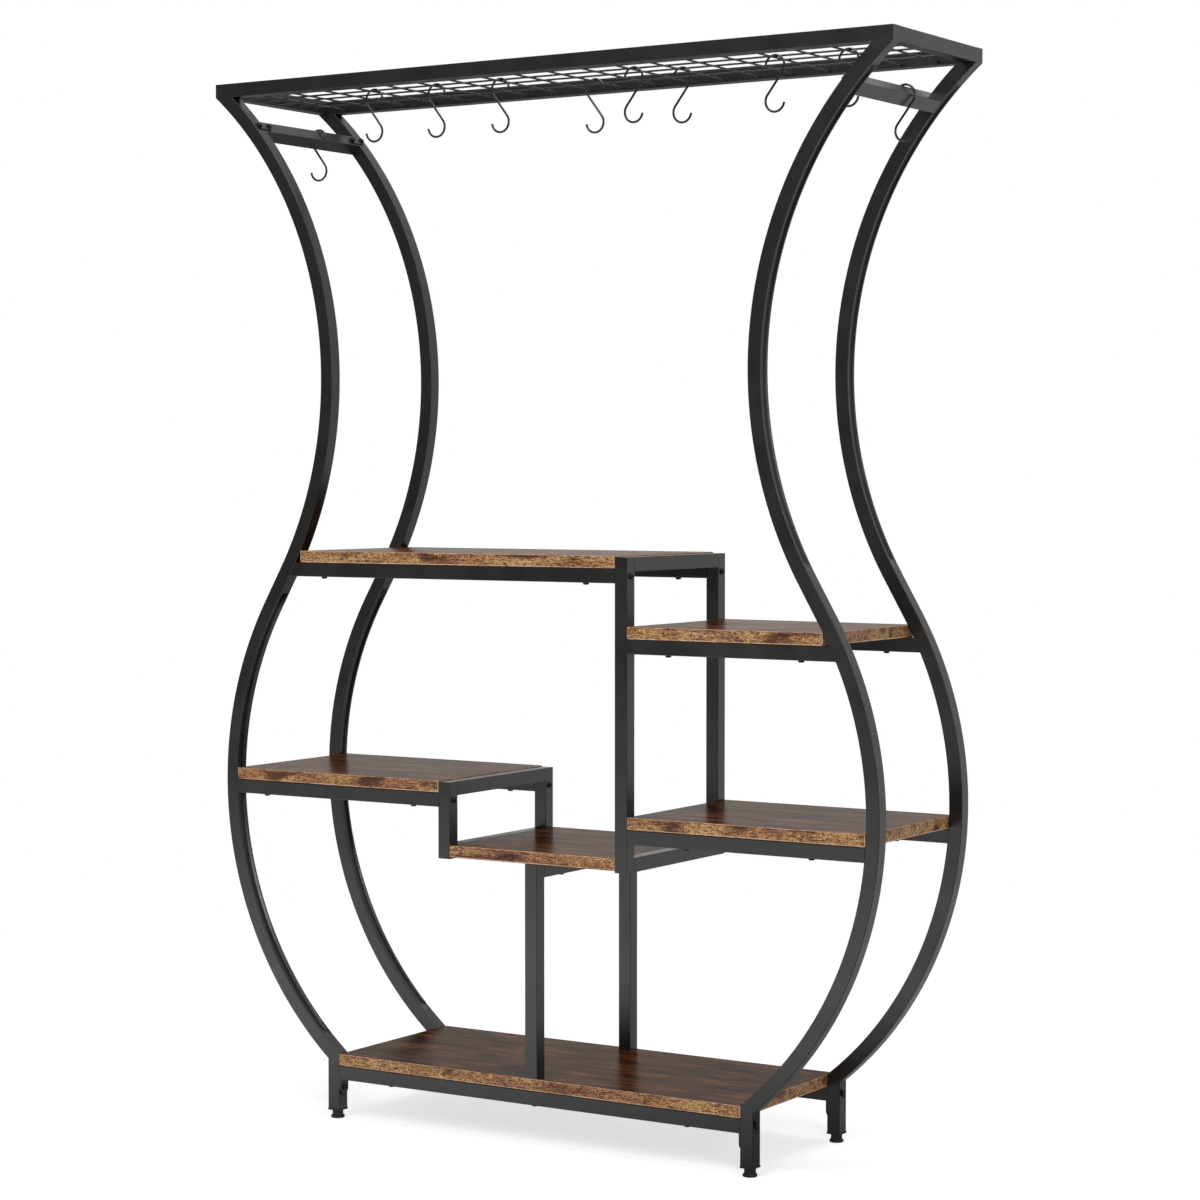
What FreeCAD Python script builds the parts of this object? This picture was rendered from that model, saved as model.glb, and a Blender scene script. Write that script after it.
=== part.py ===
import FreeCAD, Part
import math
import os

# Tiered plant stand: a frame of square steel tube shaped like a vase, six boards, a wire grid on top and
# S-hooks. Millimetres. The origin is on the floor under the middle of the stand, +X to the right as the stand
# is looked at, +Y to the rear, +Z up.

# Frame as a whole
overall_width = 1400.0
overall_depth = 335.0
overall_height = 1900.0

# Square tube
tube = 25.0
tube_wall = 1.5
tube_corner = 1.0
end_plate = 3.0

# Side curve of the uprights, along the middle of the tube
leg_span = 893.0
belly_offset = 28.0
belly_height = 610.5
belly_radius = 640.5
neck_radius = 694.0
splice_straight = 80.0
seam_rise = 20.0
mitre_straight = 12.0
groove_width = 11.0
groove_depth = 2.5
groove_margin = 45.0
groove_below_seam = 29.0
groove_above_seam = 51.0

# Boards: thickness, eased edges and the height of each top face
board_thickness = 22.0
board_ease = 0.8
board_gap = 0.2
scribe_gap = 0.15
bottom_height = 120.0
left_height = 633.5
upper_left_height = 1039.0
centre_height = 519.5
right_upper_height = 918.5
right_lower_height = 592.0

# Posts and cross rails
centre_bay = 346.0
post_drop = 2.0

# Tabs under the bottom rails
tab_drop = 28.0
tab_screw_drop = 16.0
tab_narrower = 1.0

# Top grid of welded wire
grid_wire = 3.5
grid_weld = 0.5
grid_rise = 5.5
grid_pitch_x = 70.0
grid_pitch_y = 47.5

# Neck bars and their straps
neck_bar_drop = 88.5
strap_width = 17.0
strap_thickness = 2.0
strap_on_bar = 23.0
strap_on_upright = 20.0

# Screws and bolts
screw_diameter = 6.0
screw_head = 10.5
screw_head_height = 3.8
screw_socket = 4.0
screw_gap = 0.15
screw_bite = 14.0
screw_tip_room = 1.0
bolt_grip = 9.0
strap_grip = 7.0
bottom_screw_inset = 110.0
left_screw_insets = (60.0, 63.0)
upper_left_screw_insets = (46.0, 66.0)
right_upper_screw_insets = (75.0, 46.0)
right_lower_screw_insets = (112.0, 105.0)
lower_screw_spacing = 140.0

# Levelling feet and the plugs that they screw into
foot_height = 15.0
foot_base = 25.0
foot_base_height = 5.0
foot_base_round = 1.5
foot_neck = 20.0
foot_seat_gap = 0.3
stud_diameter = 8.0
stud_length = 24.0
stud_gap = 0.35
plug_length = 25.0
plug_lip = 0.75
plug_flange = 3.0
plug_fit = 0.1
splice_wall = 2.5

# S-hooks
hook_wire = 4.0
hook_room = 7.0
hook_height = 99.0
hook_tip_short = math.radians(8.0)
hook_gap = 0.3
hook_side_gap = 1.5
neck_hook_depth = 38.0

# Where the grid hooks hang: distance from the middle, and the cross wire that each one hangs in front of.
# The first four have their lower loop open to the left, the others to the right.
grid_hook_places = (
    (-420.0, -1),
    (-280.0, -1),
    (-140.0, -1),
    (0.0, 1),
    (140.0, -1),
    (210.0, 0),
    (420.0, -1),
    (560.0, -1),
)
left_opening_hooks = 4

# Sizes that follow from those above
half_tube = tube / 2
bore = tube - 2 * tube_wall
bore_corner = max(tube_corner - tube_wall, 0.0)
frame_bottom = overall_height - tube
side_y = (overall_depth - tube) / 2
inner_y = side_y - half_tube
leg_x = leg_span / 2 - half_tube
leg_inner = leg_x - half_tube
leg_foot = foot_height + plug_flange
post_inner = centre_bay / 2
post_outer = post_inner + tube
post_x = post_inner + half_tube
rail_below_top = board_thickness + half_tube
screw_hole = screw_diameter + 2 * screw_gap
overrun = tube

X_AXIS = FreeCAD.Vector(1, 0, 0)
Y_AXIS = FreeCAD.Vector(0, 1, 0)
Z_AXIS = FreeCAD.Vector(0, 0, 1)
ORIGIN = FreeCAD.Vector(0, 0, 0)
DEPTHS = {"front": -side_y, "rear": side_y}

parts = {}


def vec(x, y, z):
    return FreeCAD.Vector(x, y, z)


def at_angle(angle):
    """Direction in the XZ plane; the angle runs from +X towards +Z."""
    return vec(math.cos(angle), 0, math.sin(angle))


# Side curve. Going up: a vertical leg, a mitre, the belly bend, a straight stretch that holds the splice, and
# the neck bend, whose outer face ends at the lower corner of the top frame.
def neck_centre():
    """Centre of the neck bend, which leaves room for the straight and passes through the frame corner."""
    reach = math.hypot(belly_radius + neck_radius, splice_straight)
    outer = neck_radius - half_tube
    across = overall_width / 2 - belly_offset
    up = frame_bottom - belly_height
    span = math.hypot(across, up)
    along = (reach ** 2 - outer ** 2 + span ** 2) / (2 * span)
    aside = math.sqrt(reach ** 2 - along ** 2)
    x = belly_offset + (along * across + aside * up) / span
    z = belly_height + (along * up - aside * across) / span
    return x, z


neck_x, neck_z = neck_centre()
splice_angle = math.atan2(neck_z - belly_height, neck_x - belly_offset)
splice_angle -= math.atan2(splice_straight, belly_radius + neck_radius)
splice_out = at_angle(splice_angle)
splice_up = vec(-splice_out.z, 0, splice_out.x)
belly_centre = vec(belly_offset, 0, belly_height)
neck_middle = vec(neck_x, 0, neck_z)
belly_end = belly_centre + splice_out * belly_radius
neck_start = neck_middle - splice_out * neck_radius
seam = (belly_end + neck_start) * 0.5 + splice_up * seam_rise
mitre_reach = math.hypot(belly_radius, mitre_straight)
belly_start_angle = math.atan2(mitre_straight, belly_radius)
belly_start_angle -= math.acos((leg_x - belly_offset) / mitre_reach)
bow_out = at_angle(belly_start_angle)
bow_up = vec(-bow_out.z, 0, bow_out.x)
belly_start = belly_centre + bow_out * belly_radius
mitre = belly_start - bow_up * mitre_straight
mitre_normal = (Z_AXIS + bow_up).normalize()
neck_top_angle = math.pi - math.asin((frame_bottom - neck_z) / neck_radius)


def inner_face_x(z):
    """Distance from the middle of the stand to the upright's inner face at height z."""
    belly_inner = belly_radius - half_tube
    neck_inner = neck_radius + half_tube
    belly_top = belly_height + belly_inner * math.sin(splice_angle)
    neck_bottom = neck_z - neck_inner * math.sin(splice_angle)
    if z <= belly_top:
        return belly_offset + math.sqrt(belly_inner ** 2 - (z - belly_height) ** 2)
    if z >= neck_bottom:
        return neck_x - math.sqrt(neck_inner ** 2 - (z - neck_z) ** 2)
    face = belly_centre + splice_out * belly_inner
    return face.x - (z - face.z) * math.tan(splice_angle)


# Solids from a section moved along a line or round an arc
def rounded_square(size, corner):
    """Square outline with rounded corners, in the XY plane round the origin."""
    half = size / 2
    flat = half - corner
    if corner == 0.0:
        points = [vec(half, -half, 0), vec(half, half, 0), vec(-half, half, 0), vec(-half, -half, 0)]
        return Part.makePolygon(points + points[:1])
    diagonal = flat + corner * math.cos(math.pi / 4)
    edges = []
    for quarter in range(4):
        turn = FreeCAD.Rotation(Z_AXIS, 90 * quarter)
        low = turn.multVec(vec(half, -flat, 0))
        high = turn.multVec(vec(half, flat, 0))
        round_middle = turn.multVec(vec(diagonal, diagonal, 0))
        round_end = turn.multVec(vec(flat, half, 0))
        edges.append(Part.LineSegment(low, high).toShape())
        edges.append(Part.Arc(high, round_middle, round_end).toShape())
    return Part.Wire(edges)


def round_section(diameter):
    return Part.Wire(Part.makeCircle(diameter / 2))


def along_line(section, start, end, across):
    """Move a section from start to end; its own X axis points along the direction across."""
    forward = (end - start).normalize()
    turn = FreeCAD.Rotation(across, forward.cross(across), forward, "ZXY")
    outline = section.copy()
    outline.Placement = FreeCAD.Placement(start, turn)
    return Part.Face(outline).extrude(end - start)


def round_arc(section, centre, radius, angle_from, angle_to):
    """Turn a section about an axis along Y through centre; angles run from +X towards +Z."""
    outward = at_angle(angle_from)
    forward = vec(-outward.z, 0, outward.x)
    turn = FreeCAD.Rotation(outward, forward.cross(outward), forward, "ZXY")
    outline = section.copy()
    outline.Placement = FreeCAD.Placement(centre + outward * radius, turn)
    sweep = math.degrees(angle_to - angle_from)
    axis = Y_AXIS * (-1 if sweep > 0 else 1)
    return Part.Face(outline).revolve(centre, axis, abs(sweep))


def straight_tube(start, end, across, start_cap, end_cap):
    """Square tube; a cap is the thickness that closes an end, and an end with no cap is open."""
    forward = (end - start).normalize()
    hollow_start = start + forward * (start_cap if start_cap else -overrun)
    hollow_end = end - forward * (end_cap if end_cap else -overrun)
    outside = along_line(rounded_square(tube, tube_corner), start, end, across)
    return outside.cut(along_line(rounded_square(bore, bore_corner), hollow_start, hollow_end, across))


def beyond(point, direction):
    """Block that holds everything near point on the side that direction points to."""
    return Part.makeCylinder(4 * tube, 4 * tube, point, direction)


def drill(node, point, direction, depth):
    """Screw hole in a node."""
    parts[node] = parts[node].cut(Part.makeCylinder(screw_hole / 2, depth, point, direction))


def mirrored(shape):
    return shape.mirror(ORIGIN, X_AXIS)


def turned(shape, degrees):
    """Turned about the stand's upright middle line."""
    moved = shape.copy()
    moved.rotate(ORIGIN, Z_AXIS, degrees)
    return moved


def shifted(shape, offset):
    moved = shape.copy()
    moved.translate(offset)
    return moved


# Uprights, made on the right-hand side in the plane Y = 0
def lower_form(section, lowest, past_seam):
    leg = along_line(section, vec(leg_x, 0, lowest), mitre + Z_AXIS * tube, X_AXIS)
    leg = leg.cut(beyond(mitre, mitre_normal))
    stub = along_line(section, mitre - bow_up * tube, belly_start, bow_out)
    stub = stub.cut(beyond(mitre, mitre_normal * -1))
    belly = round_arc(section, belly_centre, belly_radius, belly_start_angle, splice_angle)
    top = along_line(section, belly_end, seam + splice_up * past_seam, splice_out)
    return leg.fuse([stub, belly, top])


def upper_form(section, before_seam):
    bottom = along_line(section, seam - splice_up * before_seam, neck_start, splice_out)
    past_top = neck_top_angle - 2 * tube / neck_radius
    neck = round_arc(section, neck_middle, neck_radius, splice_angle + math.pi, past_top)
    above = Part.makeBox(overall_width, 4 * tube, 4 * tube, vec(0, -2 * tube, frame_bottom))
    return bottom.fuse(neck).cut(above)


# Groove that is pressed into the hollow face of each bend. The wall follows it, so the bore loses the same form
# grown by the wall; spread is that growth.
def groove_section(point, inward, spread):
    """Rectangle across the groove at a point of the face; inward points into the tube."""
    side = Y_AXIS * (groove_width / 2 + spread)
    low = point - inward * groove_depth
    high = point + inward * (groove_depth + spread)
    corners = [low - side, low + side, high + side, high - side]
    return Part.Face(Part.makePolygon(corners + corners[:1]))


def groove_end(point, inward, spread):
    radius = groove_width / 2 + spread
    return Part.makeCylinder(radius, 2 * groove_depth + spread, point - inward * groove_depth, inward)


def lower_groove(spread):
    """Groove on the inner face of the belly; it runs on along the straight and ends below the seam."""
    radius = belly_radius - half_tube
    first_angle = belly_start_angle + groove_margin / belly_radius
    first = at_angle(first_angle)
    start = belly_centre + first * radius
    turn = math.degrees(splice_angle - first_angle)
    bend = groove_section(start, first, spread).revolve(belly_centre, Y_AXIS * -1, turn)
    bend_end = belly_centre + splice_out * radius
    end = bend_end + splice_up * (splice_straight / 2 + seam_rise - groove_below_seam)
    straight = groove_section(bend_end, splice_out, spread).extrude(end - bend_end)
    return bend.fuse([straight, groove_end(start, first, spread), groove_end(end, splice_out, spread)])


def upper_groove(spread):
    """Groove on the outer face of the neck; it starts above the straight and ends below the top frame."""
    radius = neck_radius - half_tube
    past_straight = (groove_above_seam + seam_rise - splice_straight / 2) / neck_radius
    angles = (splice_angle + math.pi - past_straight, neck_top_angle + groove_margin / neck_radius)
    ends = [at_angle(angle) for angle in angles]
    points = [neck_middle + end * radius for end in ends]
    turn = math.degrees(angles[0] - angles[1])
    bend = groove_section(points[0], ends[0], spread).revolve(neck_middle, Y_AXIS, turn)
    return bend.fuse([groove_end(point, end, spread) for point, end in zip(points, ends)])


tube_section = rounded_square(tube, tube_corner)
bore_section = rounded_square(bore, bore_corner)

bottom_rail_z = bottom_height - rail_below_top
tab_screw_z = bottom_rail_z - half_tube - tab_screw_drop
lower_bore = lower_form(bore_section, leg_foot - overrun, overrun).cut(lower_groove(tube_wall))
lower_upright = lower_form(tube_section, leg_foot, 0.0).cut([lower_groove(0.0), lower_bore])
bolt_way = Part.makeCylinder(screw_hole / 2, 3 * tube, vec(leg_x - 1.5 * tube, 0, bottom_rail_z), X_AXIS)
tab_way = Part.makeCylinder(screw_hole / 2, tube, vec(leg_x, 0, tab_screw_z), X_AXIS * -1)
lower_upright = lower_upright.cut([bolt_way, tab_way])

bar_z = overall_height - neck_bar_drop
bar_x = neck_x - math.sqrt(neck_radius ** 2 - (bar_z - neck_z) ** 2)
bar_middle = vec(bar_x, 0, bar_z)
bar_inward = (bar_middle - neck_middle).normalize()
bar_up = vec(bar_inward.z, 0, -bar_inward.x)
upper_bore = upper_form(bore_section, overrun).cut(upper_groove(tube_wall))
upper_upright = upper_form(tube_section, 0.0).cut([upper_groove(0.0), upper_bore])
strap_way = Part.makeCylinder(screw_hole / 2, tube, bar_middle, bar_inward)
upper_upright = upper_upright.cut(strap_way)

splice_size = bore - 2 * plug_fit
splice_bore = rounded_square(splice_size - 2 * splice_wall, 0.0)
splice = along_line(rounded_square(splice_size, bore_corner), belly_end, neck_start, splice_out)
splice = splice.cut(along_line(splice_bore, belly_end, neck_start, splice_out))
splice = splice.cut(lower_groove(tube_wall + plug_fit))

plug = along_line(rounded_square(bore - 2 * plug_fit, bore_corner),
                  vec(leg_x, 0, leg_foot), vec(leg_x, 0, leg_foot + plug_length), X_AXIS)
plug = plug.fuse(along_line(rounded_square(tube + 2 * plug_lip, tube_corner),
                            vec(leg_x, 0, foot_height), vec(leg_x, 0, leg_foot), X_AXIS))
stud_hole = stud_diameter / 2 + stud_gap
plug = plug.cut(Part.makeCylinder(stud_hole, plug_length + plug_flange, vec(leg_x, 0, foot_height)))

foot_base_solid = Part.makeCylinder(foot_base / 2, foot_base_height, vec(leg_x, 0, 0))
foot_base_solid = foot_base_solid.makeFillet(foot_base_round, foot_base_solid.Edges)
base_top = vec(leg_x, 0, foot_base_height)
above_base = foot_height - foot_base_height
foot = foot_base_solid.fuse([
    Part.makeCylinder(foot_neck / 2, above_base - foot_seat_gap, base_top),
    Part.makeCylinder(stud_diameter / 2, above_base + stud_length, base_top),
])

corner_forms = {"lower_upright_": lower_upright, "upper_upright_": upper_upright, "foot_": foot}
splices = []
plugs = []
for depth_name, y in DEPTHS.items():
    for side_name in ("left", "right"):
        place = depth_name + "_" + side_name
        turn = 180 if side_name == "left" else 0
        for name, form in corner_forms.items():
            parts[name + place] = shifted(turned(form, turn), Y_AXIS * y)
        for group, form in ((splices, splice), (plugs, plug)):
            group.append(shifted(turned(form, turn), Y_AXIS * y))
parts["splice_plugs"] = Part.makeCompound(splices)
parts["leg_plugs"] = Part.makeCompound(plugs)


# Boards
def board(name, x_low, x_high, top):
    low = vec(x_low, -overall_depth / 2, top - board_thickness)
    block = Part.makeBox(x_high - x_low, overall_depth, board_thickness, low)
    parts[name] = block.makeFillet(board_ease, block.Edges)


def board_end(top):
    """Square end of a board that meets a curved upright: it touches where the space is narrowest."""
    return min(inner_face_x(top), inner_face_x(top - board_thickness)) - board_gap


board("bottom_board", -leg_inner, leg_inner, bottom_height)
board("left_board", -board_end(left_height), -post_outer, left_height)
board("upper_left_board", -board_end(upper_left_height), post_inner, upper_left_height)
board("centre_board", -post_inner, post_inner, centre_height)
board("right_upper_board", post_outer, board_end(right_upper_height), right_upper_height)
board("right_lower_board", post_outer, board_end(right_lower_height), right_lower_height)


# Shelf rails: two under each board but the centre one, scribed to the curved uprights
scribe_section = rounded_square(tube + 2 * scribe_gap, 0.0)
scribe_form = lower_form(scribe_section, leg_foot, 0.0).fuse(upper_form(scribe_section, 0.0))


def rail(name, x_low, x_high, top, low_cap, high_cap):
    """Rail along X under the front and the rear edge of a board."""
    z = top - rail_below_top
    for depth_name, y in DEPTHS.items():
        shape = straight_tube(vec(x_low, y, z), vec(x_high, y, z), Y_AXIS, low_cap, high_cap)
        form = shifted(scribe_form, Y_AXIS * y)
        if not high_cap:
            shape = shape.cut(form)
        if not low_cap:
            shape = shape.cut(mirrored(form))
        parts[name + "_" + depth_name] = shape


def rail_end(top):
    """Rough length of a rail that is cut back to the upright: it reaches the middle of the tube."""
    return inner_face_x(top - rail_below_top) + half_tube


rail("left_rail", -rail_end(left_height), -post_outer, left_height, 0.0, end_plate)
rail("upper_left_rail", -rail_end(upper_left_height), post_inner, upper_left_height, 0.0, end_plate)
rail("right_upper_rail", post_outer, rail_end(right_upper_height), right_upper_height, end_plate, 0.0)
rail("right_lower_rail", post_outer, rail_end(right_lower_height), right_lower_height, end_plate, 0.0)
rail("bottom_rail", -leg_inner, leg_inner, bottom_height, end_plate, end_plate)


def rail_tab(y):
    """Tab with a round lower end that carries the bottom rail's end plate down the leg."""
    width = tube - 2 * tab_narrower
    top = bottom_rail_z - half_tube
    flat = tab_drop - width / 2
    plate_x = leg_inner - end_plate
    plate = Part.makeBox(end_plate, width, flat, vec(plate_x, y - width / 2, top - flat))
    return plate.fuse(Part.makeCylinder(width / 2, end_plate, vec(plate_x, y, top - flat), X_AXIS))


for depth_name, y in DEPTHS.items():
    tab = rail_tab(y)
    node = "bottom_rail_" + depth_name
    parts[node] = parts[node].fuse([tab, mirrored(tab)])

# Posts, closed at both ends, and the cross rails between them
POSTS = {
    "central_post": (post_x, centre_height - tube, upper_left_height - post_drop),
    "short_post": (-post_x, centre_height - tube, left_height - post_drop),
    "lower_post": (0.0, bottom_height, centre_height - board_thickness),
}
for name, (x, low, high) in POSTS.items():
    for depth_name, y in DEPTHS.items():
        post = straight_tube(vec(x, y, low), vec(x, y, high), X_AXIS, tube_wall, tube_wall)
        parts[name + "_" + depth_name] = post


def cross_rail(x, top, inward=None):
    """Tube from front to rear between two uprights or posts; one of its faces looks along inward."""
    middle = vec(x, 0, top - half_tube)
    reach = Y_AXIS * inner_y
    return straight_tube(middle - reach, middle + reach, inward or X_AXIS, tube_wall, tube_wall)


parts["upper_left_cross_rail"] = cross_rail(post_x, upper_left_height - post_drop)
parts["left_cross_rail"] = cross_rail(-post_x, left_height - post_drop)
centre_rails = [cross_rail(side * post_x, centre_height) for side in (-1, 1)]
parts["centre_cross_rails"] = Part.makeCompound(centre_rails)
parts["lower_cross_rail"] = cross_rail(0.0, centre_height - board_thickness)

# Top frame and grid
top_x = overall_width / 2 - half_tube
top_z = overall_height - half_tube
for depth_name, y in DEPTHS.items():
    parts["top_rail_" + depth_name] = straight_tube(
        vec(-overall_width / 2, y, top_z), vec(overall_width / 2, y, top_z), Y_AXIS, tube_wall, tube_wall)
parts["top_end_rail_left"] = cross_rail(-top_x, overall_height)
parts["top_end_rail_right"] = cross_rail(top_x, overall_height)

grid_half_width = overall_width / 2 - tube
grid_z = frame_bottom + grid_rise
long_wire_z = grid_z + grid_wire - grid_weld
cross_wires = int((grid_half_width - grid_wire) / grid_pitch_x)
long_wires = int((inner_y - grid_wire) / grid_pitch_y)
wires = []
for step in range(-long_wires, long_wires + 1):
    start = vec(-grid_half_width, step * grid_pitch_y, long_wire_z)
    wires.append(Part.makeCylinder(grid_wire / 2, 2 * grid_half_width, start, X_AXIS))
for step in range(-cross_wires, cross_wires + 1):
    start = vec(step * grid_pitch_x, -inner_y, grid_z)
    wires.append(Part.makeCylinder(grid_wire / 2, 2 * inner_y, start, Y_AXIS))
parts["wire_grid"] = wires[0].fuse(wires[1:])

# Neck bars, flush with the uprights, and the straps on their inner faces
neck_bar = cross_rail(bar_x, bar_z + half_tube, bar_inward)
parts["neck_bar_right"] = neck_bar
parts["neck_bar_left"] = mirrored(neck_bar)


def neck_strap(end):
    """Flat strap with round ends over the joint of bar and upright; end is -1 in front and 1 at the rear."""
    radius = strap_width / 2
    reach_low = inner_y - strap_on_bar + radius
    reach_high = inner_y + strap_on_upright - radius
    face = bar_middle + bar_inward * half_tube
    starts = [face + Y_AXIS * (end * reach) for reach in (reach_low, reach_high)]
    side = bar_up * radius
    corners = [starts[0] - side, starts[1] - side, starts[1] + side, starts[0] + side]
    plate = Part.Face(Part.makePolygon(corners + corners[:1])).extrude(bar_inward * strap_thickness)
    return plate.fuse([Part.makeCylinder(radius, strap_thickness, start, bar_inward) for start in starts])


strap_bar_y = inner_y - strap_on_bar + strap_width / 2
straps = []
for end in (-1, 1):
    strap = neck_strap(end)
    for y in (side_y, strap_bar_y):
        point = bar_middle + Y_AXIS * (end * y)
        strap = strap.cut(Part.makeCylinder(screw_hole / 2, tube, point, bar_inward))
    straps += [strap, mirrored(strap)]
    way = Part.makeCylinder(screw_hole / 2, tube, bar_middle + Y_AXIS * (end * strap_bar_y), bar_inward)
    parts["neck_bar_right"] = parts["neck_bar_right"].cut(way)
    parts["neck_bar_left"] = parts["neck_bar_left"].cut(mirrored(way))
parts["neck_straps"] = Part.makeCompound(straps)


# Screws and bolts: button heads with a hexagon socket
def button_screw(seat, direction, length):
    """Screw whose head sits on the point seat and whose shank runs along direction."""
    radius = screw_head / 2
    head = Part.makeCylinder(radius, screw_head_height, ORIGIN, Z_AXIS * -1)
    rim = [edge for edge in head.Edges if abs(edge.BoundBox.ZMax + screw_head_height) < 0.01]
    head = head.makeFillet(0.6 * screw_head_height, rim)
    corner = screw_socket / 2 / math.cos(math.pi / 6)
    corners = [FreeCAD.Rotation(Z_AXIS, 60 * step).multVec(vec(corner, 0, 0)) for step in range(6)]
    hexagon = Part.makePolygon(corners + corners[:1])
    hexagon.translate(Z_AXIS * -screw_head_height)
    head = head.cut(Part.Face(hexagon).extrude(Z_AXIS * (screw_head_height / 2)))
    screw = head.fuse(Part.makeCylinder(screw_diameter / 2, length))
    screw.Placement = FreeCAD.Placement(seat, FreeCAD.Rotation(Z_AXIS, direction))
    return screw


shelf_screws = []
frame_bolts = []


def shelf_screw(rail_node, board_node, seat, direction):
    """Screw through a tube into a board."""
    length = tube + screw_bite
    shelf_screws.append(button_screw(seat, direction, length))
    for node in (rail_node, board_node):
        drill(node, seat, direction, length + screw_tip_room)


def frame_bolt(nodes, seat, direction, length):
    frame_bolts.append(button_screw(seat, direction, length))
    for node in nodes:
        drill(node, seat, direction, length + screw_tip_room)


SHELVES = {
    "bottom": (bottom_height, -leg_inner, leg_inner, (bottom_screw_inset, bottom_screw_inset)),
    "left": (left_height, -board_end(left_height), -post_outer, left_screw_insets),
    "upper_left": (upper_left_height, -board_end(upper_left_height), post_inner, upper_left_screw_insets),
    "right_upper": (right_upper_height, post_outer, board_end(right_upper_height), right_upper_screw_insets),
    "right_lower": (right_lower_height, post_outer, board_end(right_lower_height), right_lower_screw_insets),
}
for shelf, (top, x_low, x_high, insets) in SHELVES.items():
    for depth_name, y in DEPTHS.items():
        for x in (x_low + insets[0], x_high - insets[1]):
            seat = vec(x, y, top - board_thickness - tube)
            shelf_screw(shelf + "_rail_" + depth_name, shelf + "_board", seat, Z_AXIS)
for side in (-1, 1):
    y = side * lower_screw_spacing / 2
    shelf_screw("lower_cross_rail", "centre_board", vec(0, y, centre_height - board_thickness - tube), Z_AXIS)

through_tube = tube + end_plate + bolt_grip
for depth_name, y in DEPTHS.items():
    bottom_node = "bottom_rail_" + depth_name
    for side in (-1, 1):
        frame_bolt([bottom_node], vec(side * leg_span / 2, y, bottom_rail_z), X_AXIS * -side, through_tube)
        seat = vec(side * (leg_inner - end_plate), y, tab_screw_z)
        frame_bolt([bottom_node], seat, X_AXIS * side, end_plate + half_tube)
    post_bolts = (
        ("central_post_", "upper_left_rail_", post_outer, upper_left_height, -1),
        ("short_post_", "left_rail_", -post_inner, left_height, -1),
        ("central_post_", "right_upper_rail_", post_inner, right_upper_height, 1),
        ("central_post_", "right_lower_rail_", post_inner, right_lower_height, 1),
    )
    for post, rail_name, x, top, way in post_bolts:
        seat = vec(x, y, top - rail_below_top)
        frame_bolt([post + depth_name, rail_name + depth_name], seat, X_AXIS * way, through_tube)
    seat = vec(0, y, bottom_rail_z - half_tube)
    nodes = [bottom_node, "bottom_board", "lower_post_" + depth_name]
    frame_bolt(nodes, seat, Z_AXIS, tube + board_thickness + bolt_grip)
for end in (-1, 1):
    for y in (side_y, strap_bar_y):
        seat = bar_middle + bar_inward * (half_tube + strap_thickness) + Y_AXIS * (end * y)
        bolt = button_screw(seat, bar_inward * -1, strap_thickness + strap_grip)
        frame_bolts += [bolt, mirrored(bolt)]
parts["shelf_screws"] = Part.makeCompound(shelf_screws)
parts["frame_bolts"] = Part.makeCompound(frame_bolts)

# S-hooks, in the plane of X and Z. The upper loop goes over a wire or over the corner of a neck bar.
hook_inner = (tube + hook_room) / 2
hook_radius = hook_inner + hook_wire / 2
hook_centres = hook_height - hook_wire - 2 * hook_radius
shank_lean = math.asin(2 * hook_radius / hook_centres)


def s_hook(centre):
    """Hook round the given centre of its upper loop, with its lower loop open to the left."""
    section = round_section(hook_wire)
    lower_centre = centre - Z_AXIS * hook_centres
    out = vec(math.cos(shank_lean), 0, math.sin(shank_lean))
    shank = along_line(section, centre - out * hook_radius, lower_centre + out * hook_radius, out)
    upper = round_arc(section, centre, hook_radius, math.pi + shank_lean, hook_tip_short)
    lower = round_arc(section, lower_centre, hook_radius, shank_lean, hook_tip_short - math.pi)
    return shank.fuse([upper, lower])


wire_seat = hook_inner - grid_wire / 2 - hook_gap
bar_clear = bar_x - half_tube * math.sqrt(2) - hook_radius - hook_wire
last_wire = int(bar_clear / grid_pitch_x)
beside = (grid_wire + hook_wire) / 2 + hook_side_gap
for number, (place, long_wire) in enumerate(grid_hook_places, start=1):
    step = max(-last_wire, min(last_wire, round(place / grid_pitch_x)))
    pivot = vec(step * grid_pitch_x, long_wire * grid_pitch_y - beside, grid_z)
    hook = s_hook(vec(0, pivot.y, grid_z - wire_seat))
    if number > left_opening_hooks:
        hook = mirrored(hook)
    parts["grid_hook_" + str(number)] = shifted(hook, X_AXIS * pivot.x)
    print("grid hook", number, "hangs on", pivot)

corner_reach = half_tube - tube_corner
loop_rise = corner_reach - math.sqrt((hook_inner - tube_corner - hook_gap) ** 2 - corner_reach ** 2)
loop_centre = bar_middle + bar_up * loop_rise + Y_AXIS * neck_hook_depth
neck_hook = mirrored(s_hook(vec(-loop_centre.x, loop_centre.y, loop_centre.z)))
parts["neck_hook_right"] = neck_hook
parts["neck_hook_left"] = mirrored(neck_hook)
print("neck bar middle", bar_middle, "neck hook loop", loop_centre, "loop radius", hook_radius)
print("seam", seam, "mitre", mitre, "grid wires", 2 * cross_wires + 1, 2 * long_wires + 1)

os.makedirs("parts", exist_ok=True)
for name, shape in parts.items():
    shape.exportStep("parts/" + name + ".step")
print(len(parts), "nodes")
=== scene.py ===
# %% [markdown]
# # Tiered plant stand
# A stand of black square steel tube in the outline of a vase, with six staggered wood boards, a wire
# grid on top and S-hooks that hang from it. The solid model is loaded first and stays where it is; the
# cells below dress it. Everything is in metres, X to the right, Y to the rear and Z up, with the feet on
# Z = 0.

# %% Load the frame
import math

import bmesh
import bpy
from mathutils import Matrix, Vector


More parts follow.
